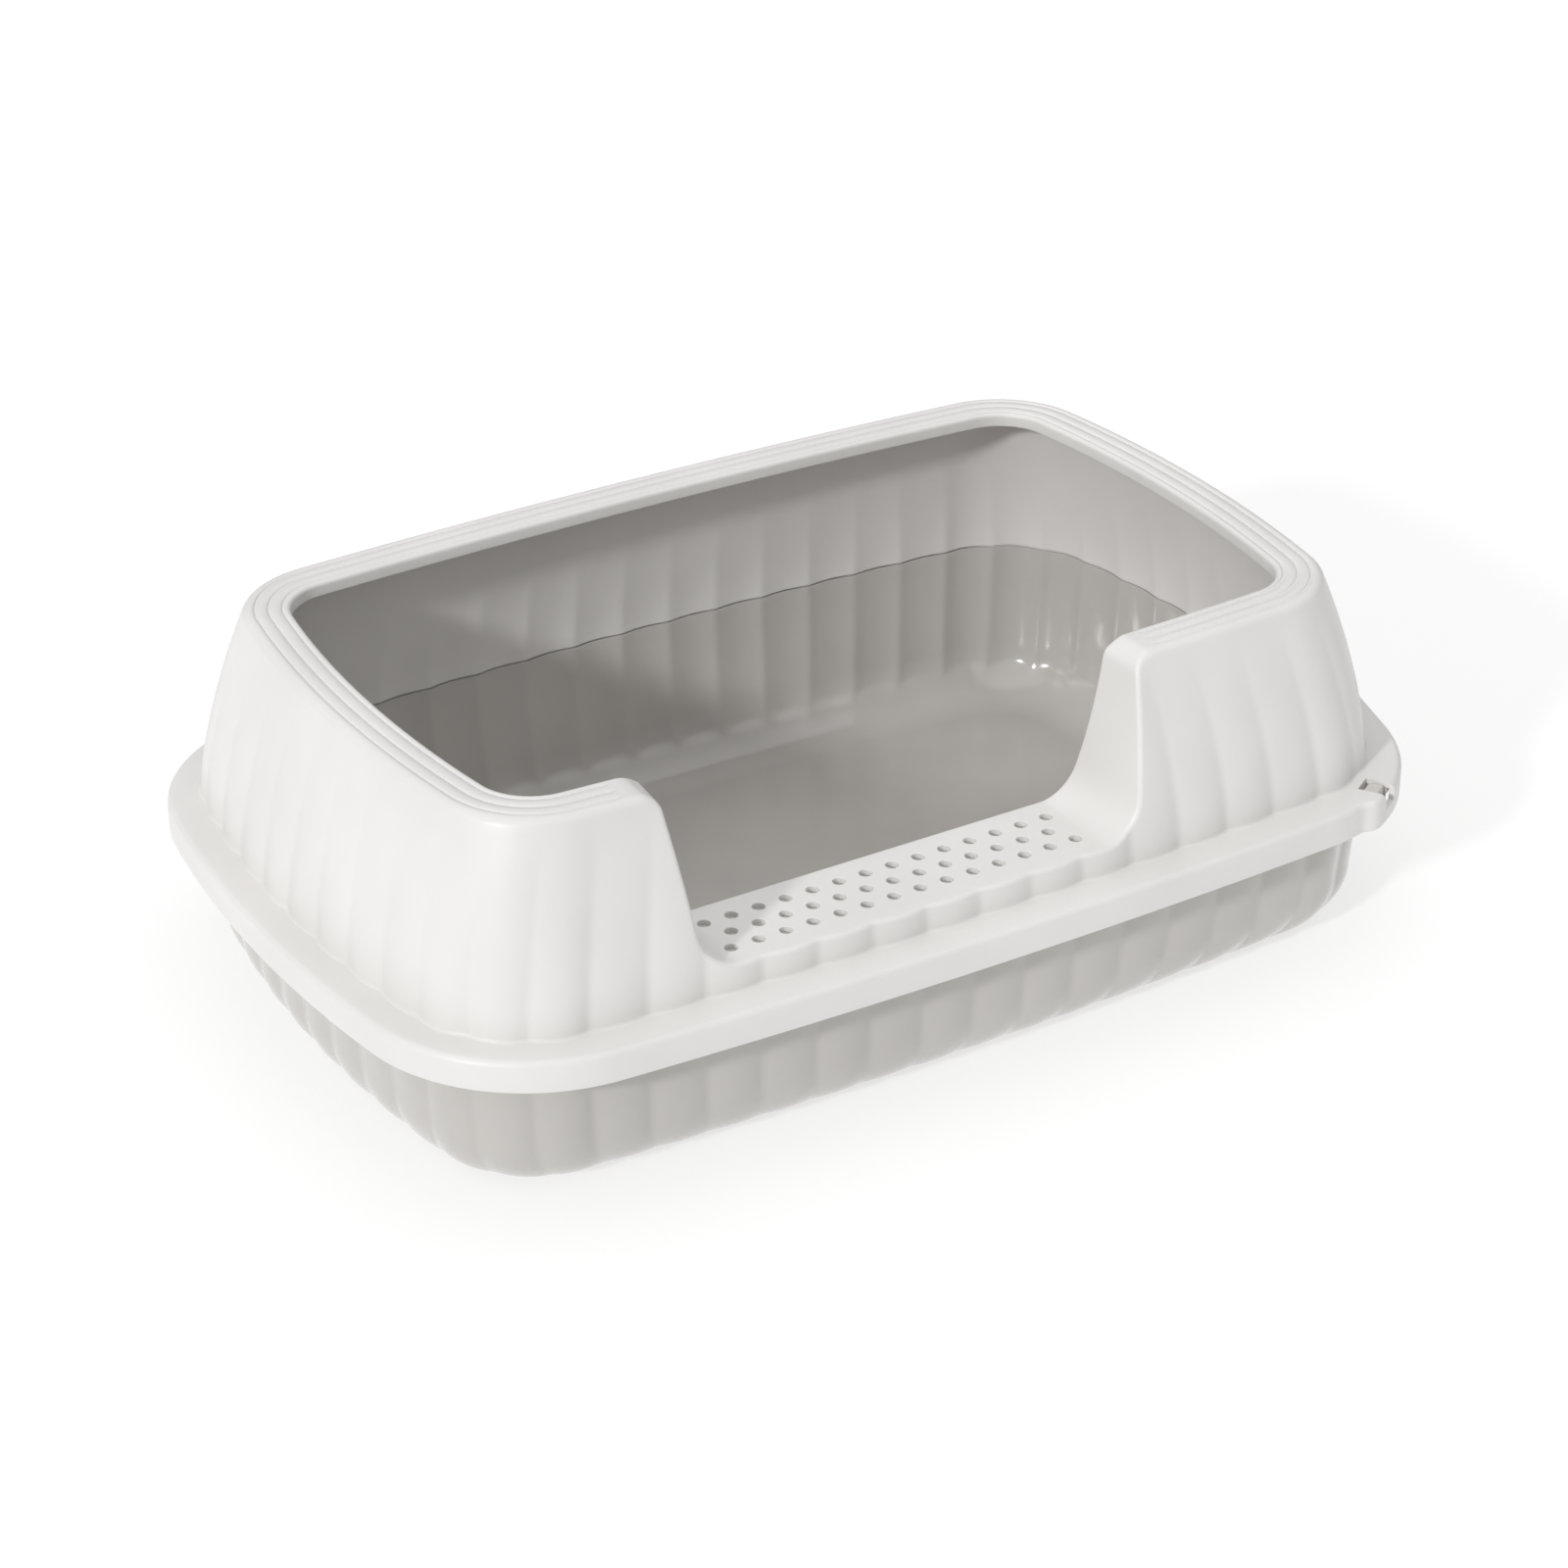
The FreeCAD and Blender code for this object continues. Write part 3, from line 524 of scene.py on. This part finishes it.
def build_hood(st):
    piece = make_grid("hood_shell", hood_rows(st), True)
    work = bmesh.new()
    profile = [(HOLE_RADIUS, LEDGE_TOP - WALL - 3)]
    profile += [(HOLE_RADIUS + HOLE_EDGE * (1 - math.cos(a)), LEDGE_TOP - HOLE_EDGE * (1 - math.sin(a)))
                for a in np.linspace(0, math.radians(72), 4)]
    profile.append((HOLE_RADIUS + 1.5 * HOLE_EDGE, LEDGE_TOP + 0.5 * HOLE_EDGE))
    for y, count in zip(HOLE_ROWS_Y, HOLE_ROW_COUNTS):
        for k in range(count):
            add_turned(work, profile, (HOLES_X + (k - (count - 1) / 2) * HOLE_PITCH, y))
    for side in (-1, 1):
        add_box(work, WINDOW_INNER_R, GRIP_RADIUS + 5, WINDOW_HALF_WIDTH, WINDOW_SILL, FLANGE_TOP + 5,
                corner_matrix(side))
    cut(piece, work)
    shade(piece, SHARP_ANGLE)
    return piece


# ---- Pan -------------------------------------------------------------------------------------------
def pan_shell(flute, thickness):
    """Rows of one side of the pan's wall, from the flat floor up to the flange."""
    top = BASE - thickness
    floor = PAN_FLOOR - thickness * 0.2
    foot_plan = top - PAN_DRAFT * (PAN_FLANGE_TOP - PAN_FOOT_RADIUS)
    rows = []
    for inwards in (60, 40, 25, 14, 7, 3, 1):
        # Further in than the corner radius allows, the outline shrinks towards the middle instead
        inset_by, shrink = min(inwards, 26), max(inwards - 26, 0) / 200
        rows.append(flat3(outline(floor - inset_by, flute)[0] * (1 - shrink), thickness))
    for step in range(PAN_FOOT_STEPS + 1):
        angle = math.radians(90 * (1 - step / PAN_FOOT_STEPS))
        share = 1 - math.cos(angle)
        z = thickness + (PAN_FOOT_RADIUS - thickness) * (1 - math.sin(angle))
        plan = foot_plan + (floor - foot_plan) * share
        end = np.clip((share - INNER_END) / INNER_END_LENGTH, 0, 1) if thickness else share
        rows.append(flat3(fluted(plan, flute, FLUTE_DEPTH * (1 - FOOT_FLUTE_FADE * end)), z))
    for z in np.linspace(PAN_FOOT_RADIUS, PAN_FLANGE_TOP - PAN_FLANGE_THICK, PAN_WALL_ROWS)[1:]:
        plan = top - PAN_DRAFT * (PAN_FLANGE_TOP - z)
        rows.append(flat3(fluted(plan, flute, FLUTE_DEPTH), z))
    return rows


def pan_rows():
    flute = flute_list()
    rows = pan_shell(flute, 0.0)
    lip, out = lip_outline(flute)
    edge = lip - out * (WALL + PAN_FLANGE_GAP)
    low = PAN_FLANGE_TOP - PAN_FLANGE_THICK
    edge_low, edge_top = flat3(edge, low), flat3(edge, PAN_FLANGE_TOP)
    rows += between(rows[-1], edge_low, 4)
    rows += [edge_low, edge_top]
    rib_outer = BASE - (WALL - LOCATING_RIB)
    rib_foot = flat3(fluted(rib_outer, flute, FLUTE_DEPTH), PAN_FLANGE_TOP)
    rows += between(edge_top, rib_foot, 4)
    rows.append(rib_foot)
    rib_head = flat3(fluted(rib_outer, flute, FLUTE_DEPTH), RIB_TOP)
    head_inner = flat3(fluted(BASE - WALL, flute, FLUTE_DEPTH), RIB_TOP)
    middle = (rib_head + head_inner) / 2
    drop = np.array([0.0, 0.0, 0.4])
    rows += bend(rib_head - drop, rib_head, middle, 3)[:-1]
    rows += bend(middle, head_inner, head_inner - drop, 3)
    rows += list(reversed(pan_shell(flute, WALL)))
    return rows


def add_lug(work, matrix, w_low, w_high):
    """A latch's ear: a plate with a rounded lower end and a bore for the trunnion."""
    segments = 32
    rings = []
    for w in (w_low, w_high):
        bore, outer = [], []
        for k in range(segments):
            angle = 2 * math.pi * (k + 0.5) / segments
            c, s = math.cos(angle), math.sin(angle)
            bore.append(work.verts.new(matrix @ Vector(
                (LATCH_PIVOT_R + TRUNNION_BORE * c, w, LATCH_PIVOT_Z + TRUNNION_BORE * s))))
            half, top, bottom = LUG_LENGTH / 2, PAN_FLANGE_TOP - 1 - LATCH_PIVOT_Z, LATCH_PIVOT_Z - LUG_BOTTOM
            if s > 0:
                reach = min(half / max(abs(c), 1e-6), top / s)
            else:
                reach = 1 / math.hypot(c / half, s / bottom)
            outer.append(work.verts.new(matrix @ Vector(
                (LATCH_PIVOT_R + reach * c, w, LATCH_PIVOT_Z + reach * s))))
        rings.append((bore, outer))
    for k in range(segments):
        after = (k + 1) % segments
        (bore_a, outer_a), (bore_b, outer_b) = rings
        work.faces.new((bore_a[k], outer_a[k], outer_a[after], bore_a[after]))
        work.faces.new((bore_b[k], bore_b[after], outer_b[after], outer_b[k]))
        work.faces.new((outer_a[k], outer_b[k], outer_b[after], outer_a[after]))
        work.faces.new((bore_a[k], bore_a[after], bore_b[after], bore_b[k]))


def build_pan():
    piece = make_grid("pan_shell", pan_rows(), False, ("first", "last"))
    work = bmesh.new()
    for side in (-1, 1):
        add_box(work, NOTCH_INNER_R, GRIP_RADIUS + 5, NOTCH_HALF_WIDTH,
                PAN_FLANGE_TOP - PAN_FLANGE_THICK - 1, PAN_FLANGE_TOP + 1, corner_matrix(side))
    cut(piece, work)
    work = bmesh.new()
    for side in (-1, 1):
        for ear in (-1, 1):
            ends = sorted((ear * LUG_GAP, ear * (LUG_GAP + LUG_THICK)))
            add_lug(work, corner_matrix(side), *ends)
    bmesh.ops.scale(work, vec=(MM, MM, MM), verts=work.verts)
    bmesh.ops.recalc_face_normals(work, faces=work.faces)
    work.from_mesh(piece.data)
    work.to_mesh(piece.data)
    work.free()
    shade(piece, SHARP_ANGLE)
    return piece


# ---- Materials -------------------------------------------------------------------------------------
def srgb(*values):
    """A colour given as 0 to 255 on screen, as the linear colour that a shader takes."""
    shares = [value / 255 for value in values]
    return tuple(v / 12.92 if v <= 0.04045 else ((v + 0.055) / 1.055)**2.4 for v in shares) + (1.0,)


def plastic(name, colour_a, colour_b, roughness, spread, grain, grain_height, coat=0.0):
    """Moulded plastic: cloudy colour variation, uneven gloss, and a fine mould grain."""
    material = bpy.data.materials.new(name)
    material.use_nodes = True
    nodes, links = material.node_tree.nodes, material.node_tree.links
    shader = next(node for node in nodes if node.type == "BSDF_PRINCIPLED")
    place = nodes.new("ShaderNodeTexCoord")

    def noise(scale, detail):
        node = nodes.new("ShaderNodeTexNoise")
        node.inputs["Scale"].default_value = scale
        node.inputs["Detail"].default_value = detail
        links.new(place.outputs["Object"], node.inputs["Vector"])
        return node

    cloud = noise(14.0, 3.0)
    ramp = nodes.new("ShaderNodeValToRGB")
    ramp.color_ramp.elements[0].position, ramp.color_ramp.elements[0].color = 0.35, colour_a
    ramp.color_ramp.elements[1].position, ramp.color_ramp.elements[1].color = 0.65, colour_b
    links.new(cloud.outputs["Fac"], ramp.inputs["Fac"])
    links.new(ramp.outputs["Color"], shader.inputs["Base Color"])

    smear = noise(60.0, 4.0)
    gloss = nodes.new("ShaderNodeMapRange")
    gloss.inputs["From Min"].default_value, gloss.inputs["From Max"].default_value = 0.3, 0.7
    gloss.inputs["To Min"].default_value = roughness - spread
    gloss.inputs["To Max"].default_value = roughness + spread
    links.new(smear.outputs["Fac"], gloss.inputs["Value"])
    links.new(gloss.outputs["Result"], shader.inputs["Roughness"])

    fine = noise(grain, 2.0)
    bump = nodes.new("ShaderNodeBump")
    bump.inputs["Strength"].default_value = 0.35
    bump.inputs["Distance"].default_value = grain_height
    links.new(fine.outputs["Fac"], bump.inputs["Height"])
    links.new(bump.outputs["Normal"], shader.inputs["Normal"])
    shader.inputs["Coat Weight"].default_value = coat
    shader.inputs["Coat Roughness"].default_value = 0.12
    shader.inputs["IOR"].default_value = 1.49
    return material


def give(piece, material):
    piece.data.materials.clear()
    piece.data.materials.append(material)


hood_material = plastic("hood_satin", srgb(219, 217, 215), srgb(224, 222, 220),
                        roughness=0.42, spread=0.05, grain=1800.0, grain_height=0.00004)
pan_material = plastic("pan_gloss", srgb(184, 181, 177), srgb(190, 187, 183),
                       roughness=0.2, spread=0.03, grain=900.0, grain_height=0.00001, coat=0.6)
latch_material = plastic("latch_satin", srgb(196, 192, 188), srgb(202, 198, 194),
                         roughness=0.4, spread=0.05, grain=1500.0, grain_height=0.00003)

# ---- Pieces ----------------------------------------------------------------------------------------
stations = Stations()
hood = build_hood(stations)
give(hood, hood_material)
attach(hood, "hood")
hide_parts("hood")

pan = build_pan()
give(pan, pan_material)
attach(pan, "pan")
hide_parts("litter_pan")

for name in ("front_latch", "rear_latch"):
    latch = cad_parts[name]
    if latch.material_slots:
        latch.material_slots[0].material = latch_material
    else:
        latch.data.materials.append(latch_material)

# ---- Floor, light, camera --------------------------------------------------------------------------
FLOOR_HALF, FLOOR_GREY, FLOOR_GLOW = 14.0, 0.4, 0.62
SKY_LOW, SKY_HIGH = 0.0, 1.25                         # strength of the sky at the horizon and overhead
KEY_AZIMUTH, KEY_ELEVATION = 25.0, 26.0               # degrees: where the key light travels to, and its slope
KEY_ENERGY, KEY_SPREAD = 1.55, 5.0
CAMERA_PLACE = (-0.77846, -1.29082, 0.90181)
CAMERA_LENS, CAMERA_AZIMUTH, CAMERA_ELEVATION, CAMERA_ROLL = 90.51, -31.0313, 28.9192, -0.2909

floor_mesh = bpy.data.meshes.new("floor")
floor_mesh.from_pydata([(x * FLOOR_HALF, y * FLOOR_HALF, 0) for x, y in ((-1, -1), (1, -1), (1, 1), (-1, 1))],
                       [], [(0, 1, 2, 3)])
floor = bpy.data.objects.new("floor", floor_mesh)
bpy.context.scene.collection.objects.link(floor)
floor_material = bpy.data.materials.new("floor_white")
floor_material.use_nodes = True
floor_shader = next(node for node in floor_material.node_tree.nodes if node.type == "BSDF_PRINCIPLED")
floor_shader.inputs["Base Color"].default_value = (FLOOR_GREY, FLOOR_GREY, FLOOR_GREY, 1)
floor_shader.inputs["Emission Color"].default_value = (1.0, 1.0, 1.0, 1)
floor_shader.inputs["Emission Strength"].default_value = FLOOR_GLOW
floor_shader.inputs["Roughness"].default_value = 0.9
floor_shader.inputs["Specular IOR Level"].default_value = 0.0
floor_mesh.materials.append(floor_material)

world = bpy.data.worlds.new("studio")
bpy.context.scene.world = world
world.use_nodes = True
background = next(node for node in world.node_tree.nodes if node.type == "BACKGROUND")
background.inputs["Color"].default_value = (1.0, 1.0, 1.0, 1)
world_nodes, world_links = world.node_tree.nodes, world.node_tree.links
direction, split = world_nodes.new("ShaderNodeTexCoord"), world_nodes.new("ShaderNodeSeparateXYZ")
sky = world_nodes.new("ShaderNodeMapRange")
sky.inputs["To Min"].default_value, sky.inputs["To Max"].default_value = SKY_LOW, SKY_HIGH
world_links.new(direction.outputs["Generated"], split.inputs["Vector"])
world_links.new(split.outputs["Z"], sky.inputs["Value"])
world_links.new(sky.outputs["Result"], background.inputs["Strength"])


azimuth, elevation = math.radians(KEY_AZIMUTH), math.radians(KEY_ELEVATION)
travel = Vector((math.cos(elevation) * math.cos(azimuth), math.cos(elevation) * math.sin(azimuth),
                 -math.sin(elevation)))
lamp = bpy.data.lights.new("key", "SUN")
lamp.energy, lamp.angle = KEY_ENERGY, math.radians(KEY_SPREAD)
key = bpy.data.objects.new("key", lamp)
key.rotation_euler = travel.to_track_quat("-Z", "Y").to_euler()
bpy.context.scene.collection.objects.link(key)

camera_data = bpy.data.cameras.new("camera")
camera_data.lens, camera_data.sensor_width = CAMERA_LENS, 36.0
camera_data.clip_end = 100
camera = bpy.data.objects.new("camera", camera_data)
bpy.context.scene.collection.objects.link(camera)
azimuth, elevation, roll = (math.radians(value) for value in (CAMERA_AZIMUTH, CAMERA_ELEVATION, CAMERA_ROLL))
back = Vector((math.sin(azimuth) * math.cos(elevation), -math.cos(azimuth) * math.cos(elevation),
               math.sin(elevation)))
right = Vector((0, 0, 1)).cross(back).normalized()
up = back.cross(right)
turned_right = right * math.cos(roll) + up * math.sin(roll)
turned_up = up * math.cos(roll) - right * math.sin(roll)
pose = Matrix((turned_right, turned_up, back)).transposed().to_4x4()
pose.translation = Vector(CAMERA_PLACE)
camera.matrix_world = pose
bpy.context.scene.camera = camera
bpy.context.scene.view_settings.view_transform = "Standard"
